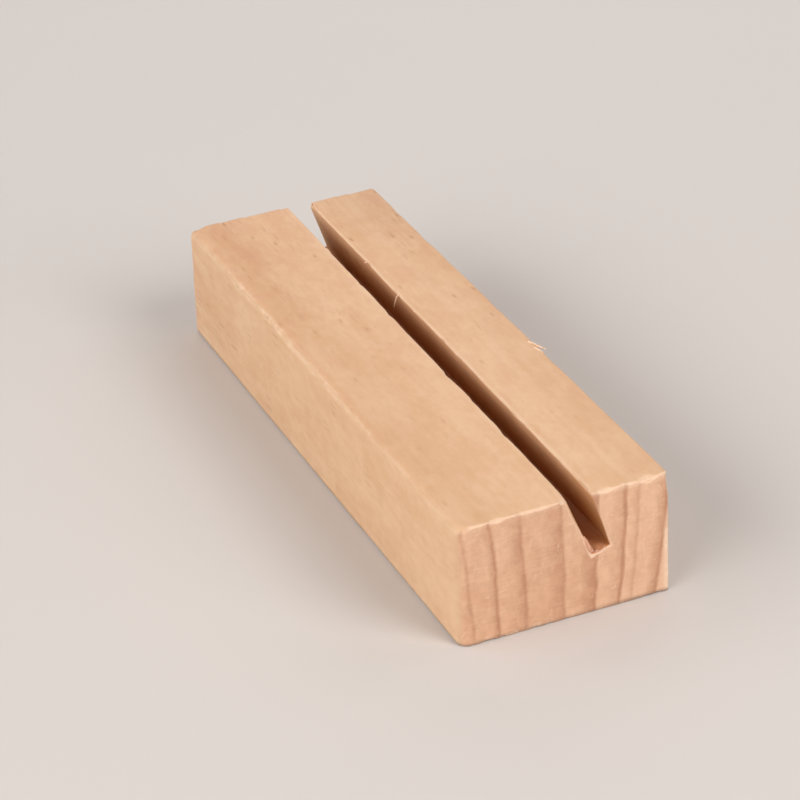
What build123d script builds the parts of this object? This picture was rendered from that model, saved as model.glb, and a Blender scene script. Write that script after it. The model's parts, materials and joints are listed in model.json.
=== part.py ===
from build123d import *
import os
from math import cos, radians, sin, tan

# A wooden photo block holder: one solid length of planed board with a slanted card slot
# down the whole of its top face, open at both ends. X runs along the block, +Y is the side
# of the wide land, +Z is up, and the origin is the centre of the base. Lengths are in
# millimetres and angles in degrees.

# Board: a short end of planed inch stock, ripped to width and cut to length
block_length = 101.6
block_width = 32.5
block_height = 19.0

# Card slot: one pass of a saw blade with the block tilted, so that the card leans back
slot_width = 3.5
slot_tilt = 18.5
slot_offset = 2.35  # slot's centre line at the top face, from mid width towards -Y
wood_under_slot = 9.15  # left under the lowest corner of the slot's floor
lip_ease = 0.2  # bevel that sanding leaves on the slot's lips

# Outer edges, eased by sanding
wide_side_corner_radius = 1.6  # upright corners at +Y
narrow_side_corner_radius = 0.7  # upright corners at -Y
rim_radius = 0.5  # edges round the top face and round the base

# How far the cutters stand past what they cut
cut_overrun = 4.0

# Directions across the slot: up its slant, and across it towards the +Y wall
slant_up = Vector(0, sin(radians(slot_tilt)), cos(radians(slot_tilt)))
slant_across = Vector(0, cos(radians(slot_tilt)), -sin(radians(slot_tilt)))

# The middle of the slot's mouth, and the depth of its floor down the slant from there
mouth_centre = Vector(0, -slot_offset, block_height)
half_slot = slot_width / 2
floor_corner_drop = half_slot * sin(radians(slot_tilt))
slot_depth = (block_height - wood_under_slot - floor_corner_drop) / cos(radians(slot_tilt))


def board():
    """The block before the slot is cut, with its edges eased."""
    blank = Box(block_length, block_width, block_height, align=(Align.CENTER, Align.CENTER, Align.MIN))
    uprights = blank.edges().filter_by(Axis.Z).group_by(Axis.Y)
    blank = fillet(uprights[-1], wide_side_corner_radius)
    uprights = blank.edges().filter_by(Axis.Z).group_by(Axis.Y)
    blank = fillet(uprights[0], narrow_side_corner_radius)
    top_rim = blank.faces().sort_by(Axis.Z)[-1].edges()
    base_rim = blank.faces().sort_by(Axis.Z)[0].edges()
    return fillet(top_rim + base_rim, rim_radius)


def prism(corners):
    """A cutter of that outline across the block, long enough to pass both ends."""
    outline = make_face(Polyline(*corners, close=True))
    return extrude(outline, amount=block_length / 2 + cut_overrun, dir=(1, 0, 0), both=True)


def slot_cutter():
    """The slot's parallel walls and its floor, square to them."""
    floor_middle = mouth_centre - slant_up * slot_depth
    above_mouth = mouth_centre + slant_up * cut_overrun
    to_wall = slant_across * half_slot
    return prism([floor_middle + to_wall, above_mouth + to_wall, above_mouth - to_wall, floor_middle - to_wall])


def lip_cutter(side):
    """The bevel along one lip: side is 1 for the lip towards +Y and -1 for the other."""
    lip = mouth_centre + slant_across * side * half_slot + slant_up * side * half_slot * tan(radians(slot_tilt))
    on_land = lip + Vector(0, side * lip_ease, 0)
    on_wall = lip - slant_up * lip_ease
    return prism([on_land, on_wall, lip + slant_up * cut_overrun])


def slotted_block():
    """The finished block: the board less the card slot and its eased lips."""
    return board() - slot_cutter() - lip_cutter(1) - lip_cutter(-1)


os.makedirs("parts", exist_ok=True)
export_step(slotted_block(), "parts/slotted_block.step")
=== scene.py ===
import json
from itertools import product
from math import cos, e, pi, radians, sin

import bpy
import numpy as np
from bpy.props import FloatProperty, FloatVectorProperty, IntProperty, PointerProperty
from mathutils import Matrix, Vector
from mathutils.geometry import delaunay_2d_cdt


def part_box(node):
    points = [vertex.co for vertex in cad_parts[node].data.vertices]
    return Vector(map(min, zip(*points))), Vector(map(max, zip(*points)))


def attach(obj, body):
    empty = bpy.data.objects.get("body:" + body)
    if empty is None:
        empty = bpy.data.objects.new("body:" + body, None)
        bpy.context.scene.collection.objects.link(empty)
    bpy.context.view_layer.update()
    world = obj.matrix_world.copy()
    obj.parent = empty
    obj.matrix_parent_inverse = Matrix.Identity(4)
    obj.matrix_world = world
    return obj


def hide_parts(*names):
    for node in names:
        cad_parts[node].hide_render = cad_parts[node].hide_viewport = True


# The looks of a wooden photo block holder: a sawn and sanded block of pale beech with a slanted
# card slot down its top. Everything is in metres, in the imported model's frame: X along the block,
# +Y the side of the wide land, +Z up, with the origin at the centre of the base. The near end is
# the one at -X, which the camera sees, and the left lip of the slot is the one towards +Y.

bl_info = {
    "name": "Wooden Photo Block Holder",
    "version": (1, 0, 0),
    "blender": (4, 5, 0),
    "location": "3D View > Sidebar > Photo Block",
    "description": "Dresses the packed photo block in worn edges, torn fibres and end grain",
    "category": "Add Mesh",
}

MM = 0.001
BODY = "root"
BLOCK_NODE = "slotted_block"
# The name of the surface map that lays every face of the block out flat at one scale
FLAT_MAP = "OFBake"

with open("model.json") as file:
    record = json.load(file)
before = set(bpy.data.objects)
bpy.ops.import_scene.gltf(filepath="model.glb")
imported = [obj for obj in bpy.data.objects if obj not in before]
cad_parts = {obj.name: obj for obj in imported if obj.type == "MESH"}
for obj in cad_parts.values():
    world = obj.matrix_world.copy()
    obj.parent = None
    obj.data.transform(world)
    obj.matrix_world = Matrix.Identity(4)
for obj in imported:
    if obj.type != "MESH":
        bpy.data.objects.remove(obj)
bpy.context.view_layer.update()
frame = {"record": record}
block_low, block_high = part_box(BLOCK_NODE)
LENGTH, WIDTH, HEIGHT = block_high - block_low

# The slot's mouth and slant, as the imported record's mount gives them
slot_mount = next(m for m in frame["record"]["mounts"] if m["name"] == "card_slot")
MOUTH = np.array(slot_mount["pos_m"])
SLANT_UP = np.array(slot_mount["axis"]) / np.linalg.norm(slot_mount["axis"])
SLANT_ACROSS = np.array([0, SLANT_UP[2], -SLANT_UP[1]])


def length(name, description, default, top):
    """A size of the block for the panel, in metres."""
    return FloatProperty(
        name=name, description=description, default=default, min=0, max=top,
        precision=5, subtype="DISTANCE", unit="LENGTH")


def colour(name, description, default):
    """A linear colour for the panel."""
    return FloatVectorProperty(
        name=name, description=description, default=default, size=3, min=0, max=1, subtype="COLOR")


class PhotoBlockShape(bpy.types.PropertyGroup):
    """Sizes of the block's worn edges and slot, and of its mesh."""

    slot_width: length("Slot width", "Width of the card slot, square to its walls", 3.5 * MM, 8 * MM)
    wood_under_slot: length(
        "Wood under slot", "Wood left between the slot's lowest corner and the base", 9.15 * MM, 18 * MM)
    slot_aside: length(
        "Slot aside", "How far the sawn slot strays from its packed place, towards the narrow land", 0.24 * MM, 1 * MM)
    slot_skew: length(
        "Slot skew", "How much more it strays at the far end, and less at the near end", 0.12 * MM, 1 * MM)
    mouth_flare: length(
        "Mouth flare", "How much further in the left wall stands at the floor than at the lip", 0.32 * MM, 1 * MM)
    lip: length("Slot lips", "Radius of the slot's lips", 0.16 * MM, 1 * MM)
    lip_wander: length("Lip wander", "How far the slot's lips stray from a straight line", 0.11 * MM, 1 * MM)
    worn_lip_end: length("Worn lip end", "Extra radius on the left lip where it meets the near end", 1.0 * MM, 3 * MM)
    near_wide_corner: length("Near corner, wide side", "Radius of that upright corner", 1.5 * MM, 5 * MM)
    far_wide_corner: length("Far corner, wide side", "Radius of that upright corner at the top", 0.6 * MM, 5 * MM)
    near_narrow_corner: length("Near corner, narrow side", "Radius of that upright corner", 0.22 * MM, 5 * MM)
    knocked_corner: length(
        "Knocked corner", "Extra radius at the top of that corner, where it was knocked", 0.9 * MM, 5 * MM)
    far_narrow_corner: length("Far corner, narrow side", "Radius of that upright corner at the top", 0.6 * MM, 5 * MM)
    near_wide_rim: length(
        "Wide side rim, near", "Radius of the long top edge on the wide land's side, at the near end", 0.9 * MM, 3 * MM)
    far_wide_rim: length(
        "Wide side rim, far", "Radius of the long top edge on the wide land's side, at the far end", 1.2 * MM, 3 * MM)
    rim: length("Rim", "Radius of the other edges round the top and the base", 0.28 * MM, 3 * MM)
    end_lean: length(
        "End lean", "How much further out the near end stands at the base than at the top", 0.68 * MM, 2 * MM)
    top_twist: length(
        "Top twist", "How much higher the narrow land stands at the near end, and the wide land's edge lower",
        0.14 * MM, 1 * MM)
    edge_sag: length(
        "Edge sag", "How far soft wood between the rings is worn down where the top meets the near end",
        0.32 * MM, 1 * MM)
    foot_gap: length("Foot gap", "How far the base's edges stand clear of the table", 0.05 * MM, 1 * MM)
    ring_relief: length("Ring relief", "How far the hard latewood stands proud on the sawn ends", 0.04 * MM, 0.5 * MM)
    mesh_step: length("Mesh step", "Usual distance between mesh points across the grain", 0.3 * MM, 2 * MM)
    seed: IntProperty(name="Seed", description="Number that the wear and wander are drawn from", default=7, min=0)


class PhotoBlockFinish(bpy.types.PropertyGroup):
    """Colours of the bare wood, and of the shade and highlights painted on it."""

    pale: colour("Pale wood", "The palest wood along the grain", (0.761, 0.496, 0.311))
    warm: colour("Warm wood", "Warmer wood in streaks and patches along the grain", (0.67, 0.393, 0.221))
    end_pale: colour("End grain, pale", "Earlywood on the sawn ends", (0.775, 0.483, 0.314))
    end_dark: colour("End grain, dark", "Latewood lines on the sawn ends", (0.515, 0.262, 0.156))
    rosy: colour("Rosy wood", "Pinker wood in patches and beside the latewood", (0.66, 0.345, 0.215))
    # The worn edge colour is pale bruised wood and also a painted highlight along rounded edges.
    edge: colour("Worn edge", "Bruised pale wood along the block's edges", (0.88, 0.63, 0.45))
    # This dark colour also paints shade on the far end's rounded edges.
    fleck_and_shade: colour("Fleck", "Short dark ray flecks and pits", (0.43, 0.205, 0.11))
    # Painted contact shade: the dark colour laid where the block meets the table.
    foot_shade: colour("Foot", "The grimy lowest edge, where the block meets the table", (0.26, 0.16, 0.11))
    # The two slot shares paint shade into the slot, on its walls near the lips and deep down.
    slot_wall_shade: colour("Slot, wall", "How much of each colour is left on the slot's sawn walls", (0.74, 0.65, 0.57))
    slot_deep_shade: colour("Slot, deep", "How much of each colour is left deep in the slot", (1.0, 0.87, 0.62))
    wide_land: colour(
        "Wide land", "How much of each colour is left on the wide land, beside its long edge", (0.94, 0.915, 0.882))
    narrow_land: colour(
        "Narrow land", "How much of each colour is left on the narrow land, beside its long edge",
        (0.953, 0.945, 0.937))
    # The two wide side shares paint cooler light onto the long side below the wide land.
    wide_side: colour(
        "Wide side, near", "How much of each colour is left on the long side below the wide land", (0.95, 0.972, 0.972))
    far_side: colour("Wide side, far", "The same at the far end", (0.935, 0.992, 1.0))
    end_low: colour("End, low", "How much of each colour is left low on the near end", (0.985, 0.965, 0.945))
    fibre: colour("Fibre", "Torn fibres", (0.88, 0.62, 0.46))
    sliver: colour("Sliver", "Torn slivers at the near end of the slot's floor", (0.71, 0.382, 0.255))


class PhotoBlockStage(bpy.types.PropertyGroup):
    """The floor and the camera."""

    floor_colour: colour("Floor", "Colour of the plain pale floor", (0.630, 0.574, 0.535))
    azimuth: FloatProperty(
        name="Azimuth", description="Where the camera stands, turned from -Y towards +X",
        default=radians(-113.299), subtype="ANGLE", unit="ROTATION")
    elevation: FloatProperty(
        name="Elevation", description="How far above the horizon the camera looks from",
        default=radians(30.164), subtype="ANGLE", unit="ROTATION")
    roll: FloatProperty(
        name="Roll", description="How far the camera is turned about its line of sight",
        default=radians(-1.911), subtype="ANGLE", unit="ROTATION")
    distance: FloatProperty(
        name="Distance", description="From the camera to the block's origin, along the line of sight",
        default=449.75 * MM, min=50 * MM, subtype="DISTANCE", unit="LENGTH")
    aside: FloatProperty(
        name="Aside", description="How far the camera stands to its own right of the origin",
        default=-2.148 * MM, subtype="DISTANCE", unit="LENGTH")
    above: FloatProperty(
        name="Above", description="How far the camera stands above the origin, across its line of sight",
        default=7.685 * MM, subtype="DISTANCE", unit="LENGTH")
    lens: FloatProperty(
        name="Lens", description="Focal length on a 36 mm sensor, in millimetres",
        default=132.143, min=10, max=500)


# Soft round lights about the block: name, azimuth and elevation in degrees, distance and strength
SOFTBOXES = (
    ("wide_side_key", 210, 30, 0.9, 0.339),
    ("wide_side_softbox", 180, 30, 0.9, 0.271),
    ("wide_side_fill", 150, 30, 0.9, 0.155),
    ("far_corner_fill", 120, 45, 0.9, 0.069),
    ("near_end_key", 300, 45, 0.9, 0.371),
    ("near_end_fill", 300, 20, 0.9, 0.236),
    ("far_end_fill", 60, 30, 0.45, 0.253),
    ("narrow_side_fill", 0, 45, 0.9, 0.109),
)
SOFTBOX_SIZE = 0.5
FLOOR_SIDE = 3.0


# Smooth noise and steps that the wear is drawn from

# How many lumps of noise there are each way before the pattern repeats
LATTICE = 64


def soft_noise(points, cell, seed):
    """Smooth noise from -1 to 1 at each point. cell is the size of its lumps along X, Y and Z."""
    lattice = np.random.default_rng(seed).uniform(-1, 1, (LATTICE,) * 3)
    where = points / np.array(cell)
    low = np.floor(where).astype(int)
    part = where - low
    part = part * part * (3 - 2 * part)
    total = np.zeros(len(points))
    for corner in product((0, 1), repeat=3):
        share = np.where(corner, part, 1 - part).prod(axis=1)
        i, j, k = ((low + corner) % LATTICE).T
        total += share * lattice[i, j, k]
    return total


def smooth_share(value, low, high):
    """0 below low, 1 above high, and a soft step between."""
    part = np.clip((value - low) / (high - low), 0, 1)
    return part * part * (3 - 2 * part)


# The growth rings, as the sawn end shows them

# Where each ring's dark latewood line meets the top face, from +Y to -Y in millimetres, how dark the
# ring is at first, how much of it is shaded towards the line, how dark that gets, and how dark the line is
RING_LINES = (
    (15.65, 0.10, 0.30, 0.30, 0.62), (11.3, 0.20, 0.28, 0.50, 0.95), (6.9, 0.12, 0.58, 0.60, 0.88),
    (0.55, 0.26, 0.46, 0.64, 0.78), (-5.2, 0.20, 0.50, 0.84, 1.0), (-9.55, 0.03, 0.50, 0.42, 1.2),
    (-11.6, 0.0, 0.6, 0.20, 0.50), (-16.3, 0.0, 0.42, 0.60, 1.10),
)
# How wide the line's darkening and its fading are
LINE_RISE = 0.45 * MM
LINE_FADE = 0.5 * MM
# The lines draw together towards the base: how far one moves there for each unit from the middle
RING_LEAN_SHARE = -0.1226
RING_LEAN_SHIFT = 0.39 * MM
MOST_LEAN = 1.4 * MM
# The rings near the middle lean further towards +Y than their neighbours do
MIDDLE_LEAN = -0.75 * MM
MIDDLE_PLACE = 2.0 * MM
MIDDLE_REACH = 5.5 * MM
# The last line towards -Y leans more: how much more, from which place on, and over how far that builds up
NARROW_LEAN = 0.98 * MM
NARROW_PLACE = -11 * MM
NARROW_REACH = 2.5 * MM
# The lines bow a little at half height
RING_BOW = 0.2 * MM
# A place in millimetres past the first line and, on the other side, past the last
PAST_RINGS = 24.0


def ring_place(points):
    """Where the ring through each point would meet the top face, as a Y."""
    y = points[:, 1]
    drop = (HEIGHT - points[:, 2]) / HEIGHT
    lean = RING_LEAN_SHARE * y + RING_LEAN_SHIFT
    lean += MIDDLE_LEAN * np.exp(-((y - MIDDLE_PLACE) / MIDDLE_REACH) ** 2)
    lean = np.minimum(lean, MOST_LEAN) + NARROW_LEAN * smooth_share(-y, -NARROW_PLACE, NARROW_REACH - NARROW_PLACE)
    return y - drop * lean + 4 * RING_BOW * drop * (1 - drop)


def ring_age(place):
    """From 0 just past a latewood line, in the soft earlywood, to 1 on the next line."""
    lines = [PAST_RINGS, *(ring[0] for ring in RING_LINES), -PAST_RINGS]
    age = np.zeros(len(place))
    for before, line in zip(lines, lines[1:]):
        inside = (place <= before * MM) & (place > line * MM)
        age = np.where(inside, (before * MM - place) / ((before - line) * MM), age)
    return age


# The block's surface: a sharp skeleton pulled onto a worn solid

# Distance between mesh points on the sharp edges, and between stations along the block's middle
FINE_STEP = 0.07 * MM
LONG_STEP = 0.8 * MM


def spaced(start, end, step, fine, reach):
    """Numbers from start to end, a fine step apart at both ends that widens to step after reach."""
    span = abs(end - start)
    places, at = [0.0], 0.0
    while at < span / 2:
        at += fine + (step - fine) * min(1, at / reach)
        places.append(at)
    half = np.array(places) / places[-1] * span / 2
    whole = np.concatenate([half, span - half[-2::-1]])
    return start + np.sign(end - start) * whole


def slot_corners(shape):
    """The slot's sharp corners across the block as (y, z), left lip first, and its floor's depth."""
    half = shape.slot_width / 2
    floor = (MOUTH[2] - shape.wood_under_slot - half * SLANT_UP[1]) / SLANT_UP[2]
    corners = []
    for side, down in ((1, 0), (1, 1), (-1, 1), (-1, 0)):
        lip_rise = side * half * SLANT_UP[1] / SLANT_UP[2]
        point = MOUTH + SLANT_ACROSS * side * half + SLANT_UP * (-floor if down else lip_rise)
        corners.append((point[1] - shape.slot_aside, point[2]))
    return corners, floor


def section(shape):
    """Sharp outline across the block as (y, z) points, from the base's +Y corner round over the top."""
    slot, _ = slot_corners(shape)
    half = WIDTH / 2
    corners = [(half, 0), (half, HEIGHT), *slot, (-half, HEIGHT), (-half, 0)]
    step = shape.mesh_step
    steps = [step] * 7 + [step * 1.3]
    outline = []
    for here, there, pace in zip(corners, corners[1:] + corners[:1], steps):
        here, there = np.array(here), np.array(there)
        run = np.linalg.norm(there - here)
        ways = spaced(0, run, pace, FINE_STEP, 1.3 * MM) / run
        outline += [here + (there - here) * way for way in ways[:-1]]
    return np.array(outline)


def rounded_cut(a, b, radius):
    """Distance outside the overlap of two solids whose shared edge is rounded."""
    corner = np.hypot(np.maximum(a + radius, 0), np.maximum(b + radius, 0))
    return np.minimum(-radius, np.maximum(a, b)) + corner


# Chips along the slot's lips, and burrs where the depth is below 0: side (1 is the left lip), place along
# the block, reach and depth in millimetres
LIP_CHIPS = (
    (-1, -1.6, 0.5, 0.26), (-1, -7.6, 0.35, 0.30), (-1, -9.9, 0.4, 0.24), (-1, 26.0, 0.35, 0.20),
    (-1, -29.0, 0.5, 0.16), (-1, 8.5, 0.3, -0.14), (1, 33.6, 0.9, -0.22), (1, 20.5, 0.7, 0.20),
    (1, 9.5, 0.9, 0.22), (1, -11.5, 0.7, 0.20), (1, -30.5, 0.6, 0.22), (1, -20.0, 0.5, 0.12),
)
# Dents in the block's long top edges: side of the block, place along it, reach and depth in millimetres
RIM_DENTS = (
    (-1, -14.5, 1.6, 0.16), (-1, 4.5, 1.2, 0.14), (-1, 30.0, 2.2, 0.24), (-1, 21.0, 1.4, 0.14), (-1, 40.5, 1.4, 0.20),
    (1, 36.0, 1.4, 0.22), (1, 27.5, 1.8, 0.28), (1, 20.5, 1.0, 0.20), (1, 12.0, 1.6, 0.25), (1, 4.0, 1.0, 0.16),
    (1, -8.0, 1.4, 0.22), (1, -21.0, 2.4, 0.18), (1, -33.0, 1.8, 0.16),
)
# Dips in the top where it meets an end, and rises where the depth is below 0: end, place across the block,
# reach and depth in millimetres
END_DENTS = (
    (-1, 12.6, 0.6, 0.16), (-1, 9.8, 0.9, 0.20), (-1, 6.6, 0.5, -0.20), (-1, 3.4, 0.5, 0.12), (-1, -6.9, 0.7, 0.22),
    (-1, -9.4, 0.6, -0.28), (-1, -13.3, 0.8, 0.50), (-1, -15.3, 0.5, -0.32),
)


def dented(along, side, marks):
    """How deep the marks on each point's side go there."""
    depth = np.zeros(len(along))
    for mark_side, place, reach, deep in marks:
        depth += np.where(side == mark_side, deep * MM * np.exp(-((along - place * MM) / (reach * MM)) ** 2), 0)
    return depth


# Wear without a setting of its own: how deep the saw marks are, how deep the lower edge of the near end is
# torn, and the extra radius where the right lip meets the far end
SAW_MARKS = 0.025 * MM
TORN_FOOT = 0.17 * MM
FAR_LIP_END = 1.6 * MM


class WornBlock:
    """The block as a distance field, with its wander, wear and saw marks fixed at each mesh point."""

    def __init__(self, points, shape):
        self.shape = shape
        x = points[:, 0]
        self.from_end = LENGTH / 2 - np.abs(x)
        self.farther = 0.5 + x / LENGTH
        self.age = ring_age(ring_place(points))
        self.soft = (1 - self.age) ** 1.5
        self.wear_faces(points)
        self.wear_edges(points)
        self.saw_slot(points)

    def noise(self, points, cell, number):
        """Soft noise in lumps of that many millimetres, with a pattern of its own for each number."""
        return soft_noise(points, [side * MM for side in cell], self.shape.seed + number)

    def wear_faces(self, points):
        """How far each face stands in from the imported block's."""
        shape, x, y = self.shape, points[:, 0], points[:, 1]
        scratches = self.noise(points, (5, 3.5, 0.2), 0)
        lumps = self.noise(points, (5, 1.1, 1.1), 7)
        self.end_relief = shape.ring_relief * (1 - self.age ** 3) + MM * (0.022 + 0.012 * scratches + 0.010 * lumps)

        self.side_relief = MM * (0.02 + 0.02 * self.noise(points, (9, 3, 3), 1))
        self.narrow_relief = self.side_relief + 0.04 * MM * smooth_share(x, -20 * MM, 25 * MM)
        sag = shape.edge_sag * self.soft * (0.6 + 0.4 * lumps) * np.where(x < 0, 1, 0.15)
        sag *= np.exp(-self.from_end / (0.9 * MM))
        sag += dented(y, np.sign(x), END_DENTS) * np.exp(-self.from_end / (0.6 * MM))
        twist = shape.top_twist * (1 - self.farther) * np.clip(2 * y / WIDTH, -1, 1) + 0.05 * MM * self.farther
        self.top_relief = self.side_relief + sag + twist

        near_foot = np.maximum(
            smooth_share(-self.from_end, -4 * MM, -0.3 * MM),
            smooth_share(np.abs(y), WIDTH / 2 - 4 * MM, WIDTH / 2 - 0.3 * MM))
        ragged = self.noise(points, (0.8, 0.8, 9), 8)
        torn = smooth_share(ragged, 0.05, 0.6) * np.exp(-self.from_end / (0.5 * MM)) * (x < 0)
        self.base_relief = shape.foot_gap * near_foot * (0.75 + 0.35 * ragged) + TORN_FOOT * torn

    def wear_edges(self, points):
        """The radius of each edge."""
        shape = self.shape
        x, y, z = points.T
        wear = 1 + 0.4 * self.noise(points, (4, 2.5, 2.5), 2)
        up_side = smooth_share(z, 0, HEIGHT)
        near = x < 0
        far_wide = shape.far_wide_corner * (0.35 + 0.65 * up_side)
        self.wide_corner = wear * np.where(near, shape.near_wide_corner, far_wide)
        knocked = shape.knocked_corner * smooth_share(z, HEIGHT - 4 * MM, HEIGHT - 0.5 * MM)
        far_narrow = shape.far_narrow_corner * (0.2 + 0.8 * up_side)
        self.narrow_corner = wear * np.where(near, shape.near_narrow_corner + knocked, far_narrow)

        on_wide_side = smooth_share(y, WIDTH / 2 - 3 * MM, WIDTH / 2 - 1 * MM)
        dents = dented(x, np.sign(y), RIM_DENTS) * smooth_share(np.abs(y), WIDTH / 2 - 2.5 * MM, WIDTH / 2 - 0.5 * MM)
        wide_rim = shape.near_wide_rim * (1 - self.farther) + shape.far_wide_rim * self.farther
        other_rim = shape.rim * (0.8 + 0.9 * self.soft)
        self.top_rim = wear * (other_rim * (1 - on_wide_side) + wide_rim * on_wide_side) + 1.2 * dents
        self.base_rim = wear * shape.rim * (0.5 + 1.0 * on_wide_side)

    def saw_slot(self, points):
        """How far the slot strays, where its walls and floor are, and the radius of its lips."""
        shape, x = self.shape, points[:, 0]
        half_slot = shape.slot_width / 2
        _, self.floor = slot_corners(shape)
        self.stray = np.array([[0, 1, 0]]) * (shape.slot_aside + shape.slot_skew * 2 * x / LENGTH)[:, None]
        across = (points - MOUTH + [0, shape.slot_aside, 0]) @ SLANT_ACROSS
        depth = np.clip(-(points - MOUTH) @ SLANT_UP / self.floor, 0, 1)
        side = np.where(across > 0, 1, -1)
        on_left = side > 0
        near_lip = smooth_share(-depth, -0.25, 0)

        along = np.column_stack([x, np.zeros_like(x), side * 0.4])
        slow = self.noise(along, (4.5, 1000, 1000), 3)
        quick = self.noise(along, (0.9, 1000, 1000), 4)
        saw = self.noise(points, (0.5, 2, 7), 5)
        self.walls = half_slot + shape.lip_wander * (slow * (0.4 + 0.6 * near_lip) + 0.3 * quick * near_lip)
        self.walls += SAW_MARKS * saw + dented(x, side, LIP_CHIPS) * near_lip
        pinched = smooth_share(-x, LENGTH / 2 - 7 * MM, LENGTH / 2)
        right_wall = MM * (0.04 * depth + pinched * (0.12 + 0.13 * depth))
        self.walls -= np.where(on_left, shape.mouth_flare * depth, right_wall)
        at_end = smooth_share(-x, LENGTH / 2 - 2.5 * MM, LENGTH / 2)
        self.floor_corner = MM * (0.1 + 0.45 * at_end * on_left)

        self.lip = shape.lip * (1 + 0.6 * self.noise(points, (2.5, 2, 9), 6))
        at_lip_end = smooth_share(-x, LENGTH / 2 - 3.2 * MM, LENGTH / 2 - 0.3 * MM) * smooth_share(-depth, -0.75, -0.05)
        self.lip += shape.worn_lip_end * at_lip_end * on_left
        self.lip += 0.12 * MM * smooth_share(-x, LENGTH / 2 - 1 * MM, LENGTH / 2)
        self.lip += FAR_LIP_END * smooth_share(x, LENGTH / 2 - 4 * MM, LENGTH / 2) * near_lip * ~on_left

    def lean(self, x, z):
        """How far the near end stands in from its packed place."""
        return self.shape.end_lean * (z / HEIGHT - 0.513) * (x < 0)

    def distance(self, points):
        """Distance of each point outside the wood."""
        x, y, z = points.T
        end = np.abs(x) - LENGTH / 2 + self.end_relief + self.lean(x, z)
        solid = rounded_cut(end, y - WIDTH / 2 + self.side_relief, self.wide_corner)
        solid = rounded_cut(solid, -y - WIDTH / 2 + self.narrow_relief, self.narrow_corner)
        solid = rounded_cut(solid, z - HEIGHT + self.top_relief, self.top_rim)
        solid = rounded_cut(solid, self.base_relief - z, self.base_rim)
        from_mouth = points - MOUTH + self.stray
        past_wall = self.walls - np.abs(from_mouth @ SLANT_ACROSS)
        above_floor = from_mouth @ SLANT_UP + self.floor
        slot = -rounded_cut(-past_wall, -above_floor, self.floor_corner)
        return rounded_cut(solid, slot, self.lip)

    def seated(self, points):
        """The points carried along with the near end's lean and the slot's walls, each beside its own edge."""
        x, _, z = points.T
        near_end = smooth_share(-x, LENGTH / 2 - 3 * MM, LENGTH / 2)
        from_mouth = points - MOUTH + self.stray
        across, up = from_mouth @ SLANT_ACROSS, from_mouth @ SLANT_UP
        half_slot = self.shape.slot_width / 2
        beside = smooth_share(-np.abs(np.abs(across) - half_slot), -1.3 * MM, -0.2 * MM)
        beside *= smooth_share(up, -self.floor - 1.5 * MM, -self.floor)
        aside = (self.walls - half_slot) * np.sign(across) * beside * near_end
        in_x = self.lean(x, z) * near_end
        return points + in_x[:, None] * [1, 0, 0] + aside[:, None] * SLANT_ACROSS

    def pull(self, points, rounds=7):
        """Moves each point onto the worn surface."""
        nudge = 0.01 * MM
        points = self.seated(points)
        for _ in range(rounds):
            off = self.distance(points)
            slope = np.column_stack([
                (self.distance(points + nudge * axis) - self.distance(points - nudge * axis)) / (2 * nudge)
                for axis in np.eye(3)])
            size = np.maximum((slope ** 2).sum(axis=1), 0.25)
            points = points - slope * (off / size)[:, None]
        return points


def cap_points(outline, shape):
    """Points inside the block's outline for one sawn end, closer together along its edges."""
    ring = np.vstack([outline, outline[:1]])
    starts, runs = ring[:-1], np.diff(ring, axis=0)

    def edge_gap(points):
        gap = np.full(len(points), LENGTH)
        for start, run in zip(starts, runs):
            way = np.clip(((points - start) @ run) / (run @ run), 0, 1)
            gap = np.minimum(gap, np.linalg.norm(points - start - way[:, None] * run, axis=1))
        return gap

    def inside(points):
        crossed = np.zeros(len(points), bool)
        for start, run in zip(starts, runs):
            above = start[1] > points[:, 1]
            ahead = start[1] + run[1] > points[:, 1]
            with np.errstate(divide="ignore", invalid="ignore"):
                cut = start[0] + run[0] * (points[:, 1] - start[1]) / run[1]
            crossed ^= (above != ahead) & (points[:, 0] < cut)
        return crossed

    found = []
    rim = 0.8 * MM
    for step, nearest, farthest in ((2 * FINE_STEP, FINE_STEP, rim), (shape.mesh_step, rim, LENGTH)):
        across = np.arange(-WIDTH / 2 + step / 2, WIDTH / 2, step)
        upright = np.arange(step / 2, HEIGHT, step * 0.87)
        lattice = np.array([(y + (row % 2) * step / 2, z) for row, z in enumerate(upright) for y in across])
        lattice = lattice[inside(lattice)]
        gap = edge_gap(lattice)
        found.append(lattice[(gap > nearest) & (gap <= farthest)])
    return np.vstack(found)


def cap_faces(outline, inner):
    """Triangles over one sawn end, as indices into the outline's points and then the inner ones."""
    flat = [Vector(p) for p in np.vstack([outline, inner])]
    rim = list(range(len(outline)))
    _, _, faces, origins, _, _ = delaunay_2d_cdt(flat, [], [rim], 1, 1e-9)
    names = [origin[0] for origin in origins]
    return [[names[v] for v in face] for face in faces]


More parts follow.
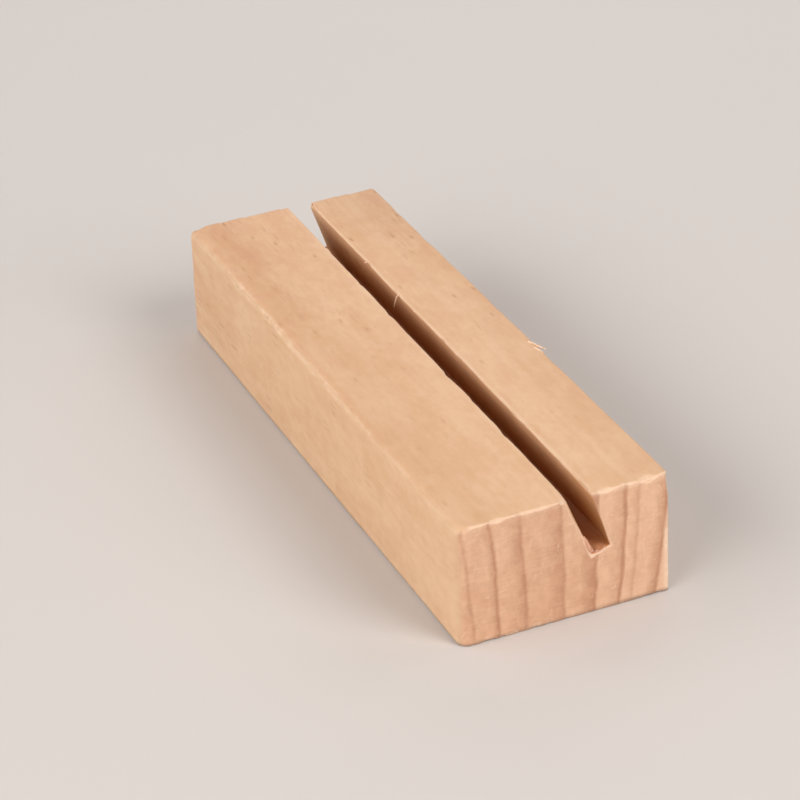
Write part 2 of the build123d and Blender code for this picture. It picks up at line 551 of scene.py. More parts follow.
def block_mesh(shape):
    """The block's points, faces, and for each face corner its place on the flat map."""
    outline = section(shape)
    stations = spaced(-LENGTH / 2, LENGTH / 2, LONG_STEP, FINE_STEP, 2.2 * MM)
    around, along = len(outline), len(stations)
    tube = np.array([(x, y, z) for x in stations for y, z in outline])
    inner = cap_points(outline, shape)
    triangles = cap_faces(outline, inner)
    caps = [np.column_stack([np.full(len(inner), x), inner]) for x in (stations[0], stations[-1])]
    points = np.vstack([tube, *caps])

    closed = np.vstack([outline, outline[:1]])
    unroll = np.concatenate([[0], np.cumsum(np.linalg.norm(np.diff(closed, axis=0), axis=1))])
    sheet = unroll[-1] * 1.01
    gutter = 1 * MM
    past_tube = LENGTH + gutter
    faces, flat = [], []
    for i in range(along - 1):
        left, right = stations[i] + LENGTH / 2, stations[i + 1] + LENGTH / 2
        for j in range(around):
            k = (j + 1) % around
            faces.append((i * around + j, i * around + k, (i + 1) * around + k, (i + 1) * around + j))
            flat += [(left, unroll[j]), (left, unroll[j + 1]), (right, unroll[j + 1]), (right, unroll[j])]
    for cap, (first, flip) in enumerate(((0, -1), ((along - 1) * around, 1))):
        inner_first = len(tube) + cap * len(inner)
        for triangle in triangles:
            corners = [first + v if v < around else inner_first + v - around for v in triangle][::flip]
            faces.append(corners)
            flat += [
                (past_tube + points[v][2], WIDTH / 2 + points[v][1] + cap * (WIDTH + gutter)) for v in corners]
    return points, faces, np.array(flat) / sheet


# Torn fibres

# Loose fibres as their points in millimetres, from the root to the tip, and their thickness there
FIBRES = (
    ("lip_hair", ((14.3, -4.6, 18.95), (14.4, -4.25, 18.95), (14.8, -4.05, 17.6), (15.2, -3.9, 16.3)), 0.36),
    ("lip_tuft", ((26.9, -4.75, 18.85), (26.8, -4.45, 18.95), (26.7, -4.15, 18.9)), 0.34),
    ("lip_burr", ((9.0, -4.8, 18.85), (8.7, -4.6, 18.95), (8.3, -4.4, 18.9)), 0.24),
    ("rim_splinter", ((-7.8, -15.6, 18.95), (-9.2, -16.0, 19.1), (-10.4, -16.4, 19.15), (-11.5, -16.85, 19.1)), 0.50),
    ("rim_sliver", ((-9.9, -15.6, 18.95), (-11.0, -15.9, 19.05), (-12.1, -16.2, 19.0)), 0.40),
)
# Slivers left standing by the saw at the near end of the slot's floor, told in the same way
FLOOR_SLIVERS = (
    (((-50.3, -3.0, 12.4), (-50.60, -3.35, 11.4), (-50.70, -3.75, 10.4), (-50.6, -4.15, 9.5)), 0.62),
    (((-49.9, -3.6, 11.6), (-50.30, -3.85, 10.9), (-50.45, -4.2, 10.1), (-50.4, -4.6, 9.5)), 0.50),
    (((-50.1, -4.6, 9.35), (-50.5, -4.9, 9.6), (-50.6, -5.2, 9.75)), 0.46),
    (((-50.0, -4.2, 9.6), (-50.65, -4.35, 9.75), (-50.78, -4.15, 10.15)), 0.44),
    (((-50.0, -4.9, 9.4), (-50.7, -5.1, 9.55), (-50.78, -5.6, 9.7)), 0.36),
    (((-50.2, -6.3, 9.9), (-50.74, -6.1, 9.95), (-50.8, -5.7, 9.85)), 0.28),
)


def fibre_mesh(path, thick, taper=0.75, sides=6, steps=8):
    """A sliver along the path, flatter than it is wide and drawn out by that share at its tip."""
    path = np.array(path)
    ways = np.linspace(0, 1, len(path))
    fine = np.linspace(0, 1, steps + 1)
    line = np.column_stack([np.interp(fine, ways, path[:, k]) for k in range(3)])
    line[1:-1] = (line[:-2] + 2 * line[1:-1] + line[2:]) / 4
    points = []
    for step, spot in enumerate(line):
        ahead = line[min(step + 1, steps)] - line[max(step - 1, 0)]
        ahead /= np.linalg.norm(ahead)
        wide = np.cross(ahead, (0.3, 0.2, 1.0))
        wide /= np.linalg.norm(wide)
        flat = np.cross(ahead, wide)
        radius = thick / 2 * (1 - taper * fine[step] ** 2)
        for turn in np.arange(sides) * 2 * pi / sides:
            points.append(spot + radius * (wide * cos(turn) + 0.75 * flat * sin(turn)))
    faces = [
        (s * sides + i, s * sides + (i + 1) % sides, (s + 1) * sides + (i + 1) % sides, (s + 1) * sides + i)
        for s in range(steps) for i in range(sides)]
    faces += [tuple(range(sides))[::-1], tuple(steps * sides + i for i in range(sides))]
    return np.array(points), faces


def joined(meshes):
    """One list of points and one of faces from several."""
    points, faces, count = [], [], 0
    for more_points, more_faces in meshes:
        points.append(more_points)
        faces += [tuple(v + count for v in face) for face in more_faces]
        count += len(more_points)
    return np.vstack(points), faces


def add_piece(name, points, faces, material):
    """A smooth-shaded mesh object that rides on the block's body."""
    mesh = bpy.data.meshes.new(name)
    mesh.from_pydata(np.asarray(points).tolist(), [], [list(map(int, face)) for face in faces])
    mesh.validate()
    mesh.polygons.foreach_set("use_smooth", [True] * len(mesh.polygons))
    mesh.materials.append(material)
    piece = bpy.data.objects.new(name, mesh)
    bpy.context.scene.collection.objects.link(piece)
    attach(piece, BODY)
    return piece


# Materials

class Wiring:
    """Adds nodes to one tree and links what feeds them."""

    def __init__(self, tree):
        self.tree = tree

    def add(self, kind, feeds=None, **settings):
        node = self.tree.nodes.new("ShaderNode" + kind)
        for name, value in settings.items():
            setattr(node, name, value)
        for socket, value in (feeds or {}).items():
            self.feed(node.inputs[socket], value)
        return node

    def feed(self, socket, value):
        if isinstance(value, bpy.types.NodeSocket):
            self.tree.links.new(value, socket)
        else:
            socket.default_value = value

    def math(self, operation, *values, clamp=False):
        return self.add("Math", dict(enumerate(values)), operation=operation, use_clamp=clamp).outputs[0]

    def chain(self, operation, values):
        total, *others = values
        for other in others:
            total = self.math(operation, total, other)
        return total

    def times(self, *values):
        return self.chain("MULTIPLY", values)

    def plus(self, *values):
        return self.chain("ADD", values)

    def most(self, *values):
        return self.chain("MAXIMUM", values)

    def minus(self, value, other):
        return self.math("SUBTRACT", value, other)

    def rest(self, value):
        """What the value leaves of 1."""
        return self.math("SUBTRACT", 1.0, value)

    def line(self, value, slope, start):
        """A straight line over the value, from start at 0."""
        return self.math("MULTIPLY_ADD", value, slope, start)

    def below(self, value, limit):
        return self.math("LESS_THAN", value, limit)

    def step(self, value, low, high, to_low=0.0, to_high=1.0):
        """A soft step over the value, from to_low at low to to_high at high."""
        feeds = {"Value": value, "From Min": low, "From Max": high, "To Min": to_low, "To Max": to_high}
        return self.add("MapRange", feeds, interpolation_type="SMOOTHSTEP").outputs[0]

    def scaled(self, vector, scale):
        return self.add("VectorMath", {0: vector, 1: scale}, operation="MULTIPLY").outputs[0]

    def along(self, vector, direction):
        return self.add("VectorMath", {0: vector, 1: direction}, operation="DOT_PRODUCT").outputs["Value"]

    def noise(self, vector, scale, detail=2.0, roughness=0.5):
        feeds = {"Vector": self.scaled(vector, scale), "Scale": 1.0, "Detail": detail, "Roughness": roughness}
        return self.add("TexNoise", feeds).outputs["Fac"]

    def cells(self, vector, scale, channel, far, near):
        """Soft dots in scattered cells, and a number from 0 to 1 for each cell."""
        node = self.add("TexVoronoi", {"Vector": self.scaled(vector, scale), "Scale": 1.0, "Randomness": 1.0})
        number = self.add("SeparateXYZ", {0: node.outputs["Color"]}).outputs[channel]
        return self.step(node.outputs["Distance"], far, near), number

    def mix(self, factor, lower, upper, blend="MIX"):
        """The upper colour laid over the lower one, each a socket or a plain red, green and blue."""
        node = self.add("Mix", {0: factor}, data_type="RGBA", clamp_factor=True, blend_type=blend)
        for socket, shade in ((6, lower), (7, upper)):
            self.feed(node.inputs[socket], shade if isinstance(shade, bpy.types.NodeSocket) else (*shade, 1))
        return node.outputs[2]

    def tint(self, factor, shade, share):
        """The colour with only that share of its red, green and blue left."""
        return self.mix(factor, shade, share, "MULTIPLY")

    def use(self, group, **feeds):
        return self.add("Group", feeds, node_tree=group).outputs


def new_group(name, inputs, outputs):
    """A shader node group with those sockets: its tree, wiring, entry and exit."""
    tree = bpy.data.node_groups.new(name, "ShaderNodeTree")
    for socket in inputs:
        kind = "NodeSocketVector" if socket == "Vector" else "NodeSocketFloat"
        tree.interface.new_socket(socket, in_out="INPUT", socket_type=kind)
    for socket in outputs:
        tree.interface.new_socket(socket, in_out="OUTPUT", socket_type="NodeSocketFloat")
    entry = tree.nodes.new("NodeGroupInput").outputs
    leave = tree.nodes.new("NodeGroupOutput").inputs
    return tree, Wiring(tree), entry, leave


def growth_rings_group():
    """Growth rings through the whole block: how much latewood there is at a point."""
    tree, w, entry, leave = new_group("growth_rings", ["Vector", "Wander"], ["Latewood"])
    vector = entry["Vector"]
    apart = w.add("SeparateXYZ", {0: vector}).outputs
    y, z = apart[1], apart[2]
    drop = w.math("DIVIDE", w.minus(HEIGHT, z), HEIGHT)
    off = w.math("DIVIDE", w.minus(y, MIDDLE_PLACE), MIDDLE_REACH)
    bell = w.math("POWER", e, w.times(off, off, -1.0))
    lean = w.line(y, RING_LEAN_SHARE, w.line(bell, MIDDLE_LEAN, RING_LEAN_SHIFT))
    narrow_lean = w.step(y, NARROW_PLACE, NARROW_PLACE - NARROW_REACH, 0, NARROW_LEAN)
    lean = w.plus(w.math("MINIMUM", lean, MOST_LEAN), narrow_lean)
    bow = w.times(drop, w.rest(drop), 4 * RING_BOW)
    place = w.plus(w.minus(y, w.times(drop, lean)), bow)
    sway = w.minus(w.noise(vector, (22, 190, 190), 1.0), 0.5)
    shiver = w.minus(w.noise(vector, (40, 900, 900), 1.0), 0.5)
    place = w.line(w.line(shiver, 0.22, sway), entry["Wander"], place)

    span = WIDTH * 1.1
    ramp = w.add("ValToRGB", {0: w.plus(w.math("DIVIDE", place, -span), 0.5)})
    stops = ramp.color_ramp.elements
    marks, last = [], -0.1
    for line, early, shaded, band, dark in RING_LINES:
        at = 0.5 - line * MM / span
        marks += [
            (last + LINE_FADE / span, early), (at - shaded * (at - last), early),
            (at - LINE_RISE / span, band), (at, dark)]
        last = at
    marks = marks[1:] + [(last + LINE_FADE / span, 0.0)]
    for number, (at, tone) in enumerate(marks):
        stop = stops[number] if number < 2 else stops.new(1.0)
        stop.position = at
        stop.color = (tone, tone, tone, 1)
    w.feed(leave["Latewood"], ramp.outputs[0])
    return tree


def grain_group():
    """Long grain: fine streaks, broad patches, rosy clouds, short ray dashes and small pits."""
    outputs = ["Streaks", "Patches", "Clouds", "Dashes", "Pits"]
    tree, w, entry, leave = new_group("long_grain", ["Vector"], outputs)
    vector = entry["Vector"]
    drift = w.scaled(w.add("TexNoise", {"Vector": vector, "Scale": 60.0}).outputs["Color"], (0, 1.2 * MM, 1.2 * MM))
    bent = w.add("VectorMath", {0: vector, 1: drift}, operation="ADD").outputs[0]
    fine = w.noise(bent, (70, 1300, 1300), 3.0, 0.6)
    broad = w.noise(bent, (25, 260, 260), 2.0, 0.5)
    w.feed(leave["Streaks"], w.line(fine, 0.35, w.times(broad, 0.65)))
    large = w.noise(bent, (90, 170, 170), 3.0, 0.55)
    small = w.noise(bent, (420, 640, 640), 3.0, 0.65)
    w.feed(leave["Patches"], w.line(large, 0.5, w.times(small, 0.5)))
    w.feed(leave["Clouds"], w.noise(vector, (190, 300, 300), 4.0, 0.65))
    dots, chosen = w.cells(bent, (260, 1700, 1700), 0, 0.5, 0.15)
    crowded = w.step(w.noise(vector, (90, 240, 240), 2.0, 0.5), 0.45, 0.62)
    w.feed(leave["Dashes"], w.times(dots, w.step(chosen, 0.3, 0.7), crowded))
    dots, chosen = w.cells(bent, (300, 800, 800), 1, 0.34, 0.05)
    w.feed(leave["Pits"], w.times(dots, w.step(chosen, 0.72, 0.96)))
    return tree


class BeechWiring(Wiring):
    """Wires the bare beech from masks that say where on the block a point lies."""

    def __init__(self, tree, finish, shape):
        super().__init__(tree)
        self.finish, self.shape = finish, shape
        coords = self.add("TexCoord").outputs
        self.place = coords["Object"]
        self.x, self.y, self.z = self.add("SeparateXYZ", {0: self.place}).outputs
        facing = self.add("SeparateXYZ", {0: coords["Normal"]}).outputs
        self.endwise, self.sidewise, self.upward = (self.math("ABSOLUTE", facing[axis]) for axis in range(3))
        self.on_end = self.step(self.endwise, 0.5, 0.85)
        self.on_side = self.step(self.sidewise, 0.5, 0.85)
        self.farther = self.step(self.x, -LENGTH / 2, LENGTH / 2)
        self.under_top = self.minus(HEIGHT, self.z)
        self.rings = self.use(growth_rings_group(), Vector=self.place, Wander=0.9 * MM)["Latewood"]
        self.grain = self.use(grain_group(), Vector=self.place)
        self.ragged_spots = self.spots((500, 800, 1200), 3.0, 0.65, 0.50, 0.66)
        self.edge_spots = self.spots((260, 500, 500), 3.0, 0.6, 0.34, 0.55)
        self.strands = self.spots((150, 2000, 2000), 3.0, 0.65, 0.38, 0.62)

        # The slot: across it, down into it, its walls and its floor
        self.half_slot, self.floor_down = shape.slot_width / 2, slot_corners(shape)[1]
        mouth = tuple(MOUTH - [0, shape.slot_aside, 0])
        from_mouth = self.add("VectorMath", {0: self.place, 1: mouth}, operation="SUBTRACT").outputs[0]
        self.signed = self.along(from_mouth, tuple(SLANT_ACROSS))
        self.across = self.math("ABSOLUTE", self.signed)
        self.down = self.times(self.along(from_mouth, tuple(SLANT_UP)), -1.0)
        self.in_slot = self.times(
            self.below(self.across, self.half_slot + 0.35 * MM), self.below(self.down, self.floor_down + 0.25 * MM),
            self.rest(self.on_end), self.step(self.under_top, 0.12 * MM, 1.1 * MM))
        self.on_floor = self.step(self.down, self.floor_down - 0.35 * MM, self.floor_down - 0.1 * MM)

    def spots(self, scale, detail, roughness, low, high):
        """Noise over the block, stepped softly from low to high."""
        return self.step(self.noise(self.place, scale, detail, roughness), low, high)

    def wander(self, scale, detail, roughness, reach):
        """Noise over the block that strays by half the reach to each side of 0."""
        return self.times(self.minus(self.noise(self.place, scale, detail, roughness), 0.5), reach)

    def end_grain(self):
        """The sawn ends' colour and bump: rings, near-level rays, soft mottling, and torn pale specks."""
        finish = self.finish
        rays = self.noise(self.place, (120, 300, 3000), 2.0, 0.6)
        clouds = self.noise(self.place, (300, 620, 460), 3.0, 0.65)
        speckle = self.noise(self.place, (500, 1900, 1200), 2.0, 0.6)
        torn = self.times(self.spots((500, 1500, 900), 2.0, 0.6, 0.60, 0.74), self.step(clouds, 0.42, 0.62))
        mottle = self.times(self.step(clouds, 0.3, 0.7, -0.5, 0.5), 0.26)
        mottle = self.line(self.step(rays, 0.3, 0.72, -0.5, 0.5), 0.16, mottle)
        mottle = self.line(self.step(speckle, 0.32, 0.68, -0.5, 0.5), 0.10, mottle)
        tone = self.math("ADD", self.rings, self.plus(mottle, 0.08), clamp=True)
        colour = self.mix(tone, finish.end_pale, finish.end_dark)
        pink = self.spots((300, 420, 330), 3.0, 0.6, 0.46, 0.66)
        colour = self.mix(self.times(pink, 0.30), colour, finish.rosy)
        colour = self.mix(self.times(torn, 0.40), colour, finish.edge)

        # Pale ragged wood near the base, past the last ring and under the top rim; at the base and the rim it is also a
        # painted highlight on the rounded edges.
        at_base = self.times(self.step(self.z, 1.1 * MM, 0.3 * MM), self.ragged_spots, 0.8)
        past_last_ring = self.times(
            self.step(self.y, -15.1 * MM, -15.9 * MM), self.step(self.z, HEIGHT * 0.75, HEIGHT * 0.4),
            self.line(self.ragged_spots, 0.35, 0.65))
        at_rim = self.times(self.step(self.under_top, 1.1 * MM, 0.1 * MM), self.line(self.ragged_spots, 0.25, 0.22))
        colour = self.mix(self.most(at_base, past_last_ring, at_rim), colour, finish.edge)
        low_down = self.times(self.step(self.z, 15 * MM, 6 * MM), self.step(self.y, -8 * MM, -3 * MM))
        return self.tint(low_down, colour, finish.end_low), self.plus(rays, clouds, self.times(torn, 0.8))

    def long_grain(self):
        """The colour along the grain: soft mottling with a little streak, rosier towards the far end."""
        finish, grain = self.finish, self.grain
        warmth = self.times(self.step(grain["Patches"], 0.36, 0.64), 0.52)
        warmth = self.line(self.step(grain["Streaks"], 0.33, 0.68), 0.36, warmth)
        warmth = self.line(self.rings, 0.14, warmth)
        colour = self.mix(warmth, finish.pale, finish.warm)
        rosy = self.times(self.step(grain["Clouds"], 0.42, 0.66), self.line(self.farther, 0.30, 0.12))
        far_patch = self.times(
            self.step(self.x, 24 * MM, 42 * MM), self.step(self.y, 4 * MM, 9 * MM),
            self.step(grain["Streaks"], 0.36, 0.60, 0.0, 0.26))
        colour = self.mix(self.plus(rosy, far_patch), colour, finish.rosy)
        dashes = self.times(grain["Dashes"], self.line(self.on_side, 0.22, 0.21), self.line(self.farther, 0.9, 0.2))
        colour = self.mix(dashes, colour, finish.fleck_and_shade)
        pits = self.times(grain["Pits"], self.line(self.farther, 0.30, 0.22))
        colour = self.mix(pits, colour, finish.fleck_and_shade)

        land = self.mix(self.step(self.y, 5.5 * MM, 10.5 * MM), (1, 1, 1), finish.wide_land)
        land = self.mix(self.step(self.y, -7.5 * MM, -14.5 * MM), land, finish.narrow_land)
        far_narrow = self.times(self.step(self.x, 26 * MM, 46 * MM), self.step(self.y, -4 * MM, -9 * MM))
        land = self.tint(far_narrow, land, (0.94, 0.93, 0.94))
        # Painted light: the long side below the wide land is tinted for the cooler light that falls on it
        wide_side = self.mix(self.farther, finish.wide_side, finish.far_side)
        on_wide_side = self.times(self.on_side, self.step(self.y, 0, 1 * MM))
        return self.tint(1.0, colour, self.mix(on_wide_side, land, wide_side))

    def long_edge(self):
        """A wavy pale ridge low on the wide side's long edge, bruised wood with a painted highlight, and the rosy
        groove beside it with painted shade.
        """
        sway = self.wander((210, 60, 60), 3.0, 0.6, 1.2 * MM)
        past_edge = self.plus(self.minus(self.y, self.z), self.plus(sway, HEIGHT - WIDTH / 2))
        off_end = self.rest(self.on_end)
        ridge = self.times(
            self.step(past_edge, -0.9 * MM, 0.1 * MM), self.step(past_edge, 1.6 * MM, 0.6 * MM),
            self.line(self.strands, 0.34, self.line(self.ragged_spots, 0.30, 0.03)), off_end,
            self.step(self.x, 46 * MM, 26 * MM, 0.2, 1.0), self.step(self.farther, 0.05, 0.55, 0.42, 1.0))
        groove = self.times(
            self.step(past_edge, -1.7 * MM, -1.1 * MM), self.step(past_edge, -0.3 * MM, -0.8 * MM), off_end,
            self.step(self.farther, 0.1, 0.6, 0.3, 1.0))
        return ridge, groove

    def end_edge(self):
        """Pale bruised wood and a painted highlight along the ends' edges, strongest where the top meets the near end.
        """
        return self.times(
            self.step(self.endwise, 0.06, 0.25), self.step(self.endwise, 0.985, 0.80),
            self.step(self.upward, 0.12, 0.40, 0.22, 1.0), self.line(self.edge_spots, 0.32, 0.22),
            self.step(self.y, WIDTH / 2 - 1.2 * MM, WIDTH / 2 - 2.6 * MM, 0.12, 1.0),
            self.step(self.x, 0, -1 * MM, 0.15, 1.0))

    def narrow_edge(self):
        """Bruises along the narrow side's long edge."""
        return self.times(
            self.step(self.sidewise, 0.4, 0.6), self.step(self.upward, 0.4, 0.6), self.edge_spots, 0.45,
            self.step(self.y, WIDTH / 4, 0))

    def far_rim_shade(self):
        """Painted shade: dark marks along the rounding of the far end's edges."""
        return self.times(
            self.step(self.endwise, 0.06, 0.30), self.step(self.x, 0, 1 * MM), self.step(self.upward, 0.1, 0.3),
            self.spots((300, 420, 420), 2.0, 0.6, 0.45, 0.62), 0.45)

    def slot_edge(self):
        """A pale line on the slot's lips, and a frayed fringe round the slot on the ends: torn pale wood with a painted
        highlight on these rounded edges.
        """
        half, floor = self.half_slot, self.floor_down
        on_lip = self.times(
            self.step(self.across, half + 0.75 * MM, half + 0.25 * MM), self.step(self.under_top, 0.5 * MM, 0.15 * MM),
            self.step(self.signed, -0.5 * MM, 0.5 * MM, 0.38, 0.22), self.step(self.x, -50 * MM, -30 * MM, 0.5, 1.0),
            self.rest(self.in_slot), self.line(self.edge_spots, 0.5, 0.5))
        frayed = self.wander((900, 1300, 1300), 2.0, 0.6, 0.5 * MM)
        past_wall = self.plus(self.minus(self.signed, half - self.shape.mouth_flare), frayed)
        beside = self.times(
            self.step(past_wall, 0.75 * MM, 0.25 * MM), self.step(past_wall, -0.3 * MM, -0.1 * MM),
            self.step(self.down, 1 * MM, 6 * MM, 0.4, 1.0), self.below(self.down, floor + 0.4 * MM))
        past_floor = self.plus(self.minus(self.down, floor), frayed)
        under = self.times(
            self.step(past_floor, 0.50 * MM, 0.25 * MM), self.step(past_floor, -0.3 * MM, -0.1 * MM),
            self.below(self.across, half + 0.1 * MM), self.step(self.signed, -half, 0, 0.35, 1.0))
        return self.most(on_lip, self.times(self.most(beside, under), self.on_end, 0.85))

    def slot_shade(self, rough):
        """Painted shade in the slot, with the left wall's shadow painted on its floor at the near end: how much of the
        wood's colour is left there, least deep down, and low at the near end.
        """
        share = self.mix(self.step(self.down, 2.5 * MM, 6.5 * MM), self.finish.slot_wall_shade, self.finish.slot_deep_shade)
        near_wall = self.times(
            self.step(self.x, -45.5 * MM, -49.5 * MM), self.step(self.down, 0.8 * MM, 7 * MM), self.rest(self.on_floor))
        share = self.tint(near_wall, share, (0.60, 0.50, 0.46))
        near_lip = self.times(self.step(self.x, -38 * MM, -48 * MM), self.step(self.down, 4.5 * MM, 1.5 * MM))
        share = self.tint(near_lip, share, (0.98, 0.91, 0.80))
        midway = self.times(
            self.step(self.x, -46 * MM, -34 * MM), self.step(self.x, 34 * MM, 20 * MM),
            self.step(self.down, 1.8 * MM, 3.2 * MM), self.step(self.down, 7 * MM, 5 * MM))
        share = self.tint(midway, share, (0.90, 0.86, 0.88))
        near_floor = self.step(self.x, -46 * MM, -49.5 * MM)
        floor = self.mix(self.times(rough, near_floor), (1, 0.82, 0.70), (1, 0.66, 0.47))
        shaded = self.times(near_floor, self.step(self.signed, 0.3 * MM, -1.8 * MM))
        floor = self.mix(shaded, floor, (0.55, 0.33, 0.15))
        share = self.mix(self.on_floor, share, floor)
        return self.mix(self.times(self.step(self.x, 28 * MM, 50 * MM), 0.55), share, (0.93, 1, 1))

    def torn_floor(self, rough):
        """Paler torn wood where the slot's floor meets the near end."""
        return self.times(
            self.on_floor, self.in_slot, self.step(self.x, -49.2 * MM, -50.4 * MM), rough,
            self.step(self.signed, -0.4 * MM, 1.0 * MM), 0.55)

    def contact_shade(self):
        """Painted contact shade along the base, crisp under the end's narrow side and strong along the wide side."""
        height = self.plus(self.z, self.wander((900, 900, 900), 2.0, 0.6, 0.25 * MM))
        foot_shade = self.times(self.step(height, 0.9 * MM, 0.1 * MM), self.step(self.y, -5 * MM, -11 * MM, 0.48, 0.75))
        beside = self.times(self.step(height, 0.8 * MM, 0.05 * MM), self.on_side, 0.85)
        return self.most(foot_shade, beside)

    def long_height(self, ridge, groove):
        """The bump along the grain."""
        streaks = self.minus(self.times(self.grain["Streaks"], 0.3), self.times(self.grain["Dashes"], 0.4))
        height = self.line(self.grain["Patches"], 0.8, streaks)
        return self.plus(ridge, self.line(groove, -0.5, height))


def new_material(name, sockets):
    """A material, and its shader with those sockets set."""
    material = bpy.data.materials.new(name)
    material.use_nodes = True
    shader = material.node_tree.nodes["Principled BSDF"]
    for socket, value in sockets.items():
        shader.inputs[socket].default_value = value
    return material, shader


def wood_material(finish, shape):
    """Bare fine-sanded beech, with end grain on the sawn ends and streaks along the grain."""
    material, shader = new_material("bare_beech", {"Specular IOR Level": 0.15})
    w = BeechWiring(material.node_tree, finish, shape)
    end_colour, end_height = w.end_grain()
    ridge, groove = w.long_edge()
    surface = w.mix(w.on_end, w.long_grain(), end_colour)
    # Painted shade on the far end's rounded edges
    surface = w.mix(w.far_rim_shade(), surface, finish.fleck_and_shade)
    # Painted shade in the groove beside the long edge's ridge
    surface = w.mix(w.times(groove, w.line(w.strands, 0.25, 0.10)), surface, finish.rosy)
    # Pale bruises along the edges, with a painted highlight on the rounded ones
    bruises_and_highlights = w.times(w.most(w.end_edge(), ridge, w.narrow_edge()), w.rest(w.times(w.in_slot, 0.75)))
    surface = w.mix(w.most(bruises_and_highlights, w.slot_edge()), surface, finish.edge)

    rough = w.spots((700, 1500, 1500), 3.0, 0.65, 0.36, 0.62)
    # Painted shade in the slot
    surface = w.mix(w.in_slot, surface, w.tint(1.0, surface, w.slot_shade(rough)))
    surface = w.mix(w.torn_floor(rough), surface, finish.sliver)
    # Painted contact shade along the base
    surface = w.mix(w.contact_shade(), surface, finish.foot_shade)
    w.feed(shader.inputs["Base Color"], surface)

    w.feed(shader.inputs["Roughness"], w.step(w.grain["Streaks"], 0.2, 0.8, 0.62, 0.76))
    height = w.mix(w.on_end, w.long_height(ridge, groove), end_height)
    bump = w.add("Bump", {"Height": height, "Strength": 0.6, "Distance": 0.08 * MM})
    w.feed(shader.inputs["Normal"], bump.outputs[0])
    return material


def fibre_material(name, shade, streak):
    """Torn wood fibres with a little streak of tone."""
    material, shader = new_material(name, {"Specular IOR Level": 0.25, "Roughness": 0.75})
    w = Wiring(material.node_tree)
    tone = w.noise(w.add("TexCoord").outputs["Object"], (2500, 2500, 900), 2.0, 0.5)
    w.feed(shader.inputs["Base Color"], w.mix(w.step(tone, 0.4, 0.65), shade, streak))
    return material


class PHOTOBLOCK_OT_block(bpy.types.Operator):
    """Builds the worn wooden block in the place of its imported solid"""

    bl_idname = "photo_block.block"
    bl_label = "Wooden Block"

    def execute(self, context):
        shape = context.scene.photo_block_shape
        points, faces, flat = block_mesh(shape)
        worn = WornBlock(points, shape).pull(points)
        block = add_piece("wooden_block", worn, faces, wood_material(context.scene.photo_block_finish, shape))
        layer = block.data.uv_layers.new(name=FLAT_MAP)
        layer.data.foreach_set("uv", flat.ravel())
        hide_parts(BLOCK_NODE)
        return {"FINISHED"}


class PHOTOBLOCK_OT_fibres(bpy.types.Operator):
    """Adds the loose fibres on the lips and rim and the torn slivers at the near end of the slot"""

    bl_idname = "photo_block.fibres"
    bl_label = "Torn Fibres"

    def execute(self, context):
        finish = context.scene.photo_block_finish
        material = fibre_material("torn_beech", finish.fibre, finish.warm)
        for name, path, thick in FIBRES:
            points, faces = fibre_mesh(path, thick)
            add_piece(name, points * MM, faces, material)
        points, faces = joined(fibre_mesh(path, thick, taper=0.35) for path, thick in FLOOR_SLIVERS)
        add_piece("slot_end_slivers", points * MM, faces, fibre_material("torn_slot_end", finish.sliver, finish.rosy))
        return {"FINISHED"}


class PHOTOBLOCK_OT_stage(bpy.types.Operator):
    """Lays the floor, hangs the soft lights and places the camera"""

    bl_idname = "photo_block.stage"
    bl_label = "Stage"

    def execute(self, context):
        stage = context.scene.photo_block_stage
        half = FLOOR_SIDE / 2
        mesh = bpy.data.meshes.new("floor")
        mesh.from_pydata([(-half, -half, 0), (half, -half, 0), (half, half, 0), (-half, half, 0)], [], [(0, 1, 2, 3)])
        plain, _ = new_material("pale_floor", {"Base Color": (*stage.floor_colour, 1), "Roughness": 0.8})
        mesh.materials.append(plain)
        floor = bpy.data.objects.new("floor", mesh)
        context.scene.collection.objects.link(floor)
        for name, azimuth, elevation, distance, strength in SOFTBOXES:
            add_softbox(name, radians(azimuth), radians(elevation), distance, strength)
        context.scene.camera = add_camera(stage)
        context.scene.view_settings.view_transform = "Standard"
        return {"FINISHED"}


def outward(azimuth, elevation):
    """The direction out from the block: azimuth is turned from -Y towards +X."""
    return Vector((sin(azimuth) * cos(elevation), -cos(azimuth) * cos(elevation), sin(elevation)))


def add_softbox(name, azimuth, elevation, distance, strength):
    """A round softbox that looks at the block, equally bright there from any distance."""
    data = bpy.data.lights.new(name, "AREA")
    data.shape = "DISK"
    data.size = SOFTBOX_SIZE
    data.energy = strength * 4 * pi * distance ** 2
    lamp = bpy.data.objects.new(name, data)
    back = outward(azimuth, elevation)
    lamp.location = back * distance
    lamp.rotation_euler = (-back).to_track_quat("-Z", "Y").to_euler()
    bpy.context.scene.collection.objects.link(lamp)


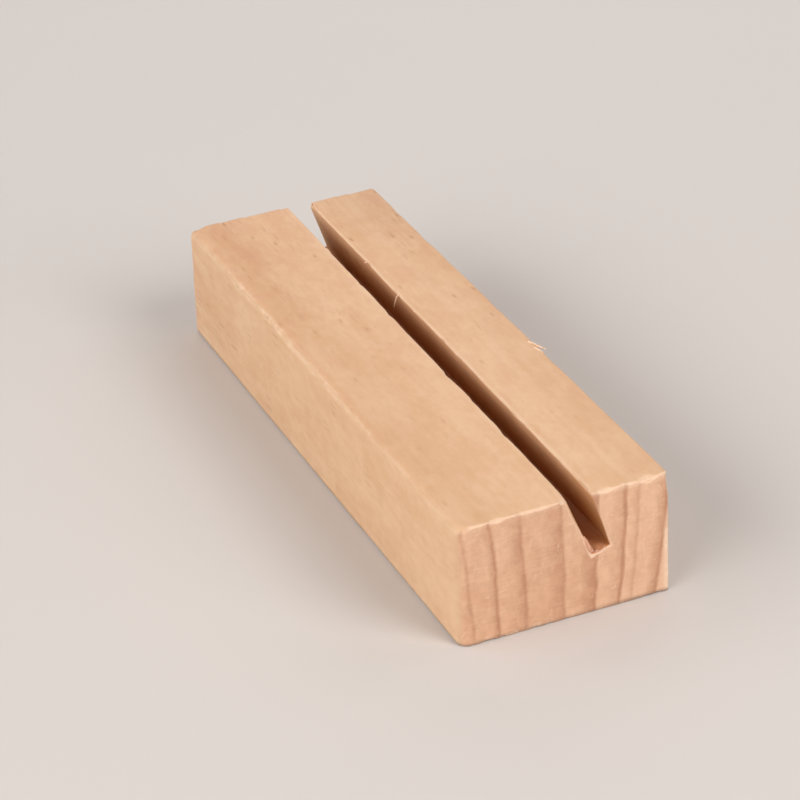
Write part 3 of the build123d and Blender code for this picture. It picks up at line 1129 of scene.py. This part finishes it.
def add_camera(stage):
    """The camera at the photograph's viewing angle."""
    back = outward(stage.azimuth, stage.elevation)
    right = Vector((cos(stage.azimuth), sin(stage.azimuth), 0))
    up = back.cross(right)
    roll = stage.roll
    right, up = right * cos(roll) + up * sin(roll), up * cos(roll) - right * sin(roll)
    data = bpy.data.cameras.new("camera")
    data.lens = stage.lens
    data.sensor_width = 36
    data.clip_start = 0.01
    camera = bpy.data.objects.new("camera", data)
    turn = Matrix((right, up, back)).transposed()
    stand = back * stage.distance + right * stage.aside + up * stage.above
    camera.matrix_world = Matrix.Translation(stand) @ turn.to_4x4()
    bpy.context.scene.collection.objects.link(camera)
    return camera


class PHOTOBLOCK_PT_panel(bpy.types.Panel):
    """Sizes, colours and build steps of the photo block"""

    bl_idname = "PHOTOBLOCK_PT_panel"
    bl_label = "Photo Block"
    bl_space_type = "VIEW_3D"
    bl_region_type = "UI"
    bl_category = "Photo Block"

    def draw(self, context):
        layout = self.layout
        scene = context.scene
        for group in (scene.photo_block_shape, scene.photo_block_finish, scene.photo_block_stage):
            box = layout.box()
            for name in type(group).__annotations__:
                box.prop(group, name)
        for operator in OPERATORS:
            layout.operator(operator.bl_idname)


OPERATORS = (PHOTOBLOCK_OT_block, PHOTOBLOCK_OT_fibres, PHOTOBLOCK_OT_stage)
CLASSES = (PhotoBlockShape, PhotoBlockFinish, PhotoBlockStage, *OPERATORS, PHOTOBLOCK_PT_panel)


def register():
    for cls in CLASSES:
        bpy.utils.register_class(cls)
    bpy.types.Scene.photo_block_shape = PointerProperty(type=PhotoBlockShape)
    bpy.types.Scene.photo_block_finish = PointerProperty(type=PhotoBlockFinish)
    bpy.types.Scene.photo_block_stage = PointerProperty(type=PhotoBlockStage)


def unregister():
    del bpy.types.Scene.photo_block_stage
    del bpy.types.Scene.photo_block_finish
    del bpy.types.Scene.photo_block_shape
    for cls in reversed(CLASSES):
        bpy.utils.unregister_class(cls)


def main():
    register()
    bpy.ops.photo_block.block()
    bpy.ops.photo_block.fibres()
    bpy.ops.photo_block.stage()


if __name__ == "__main__":
    main()
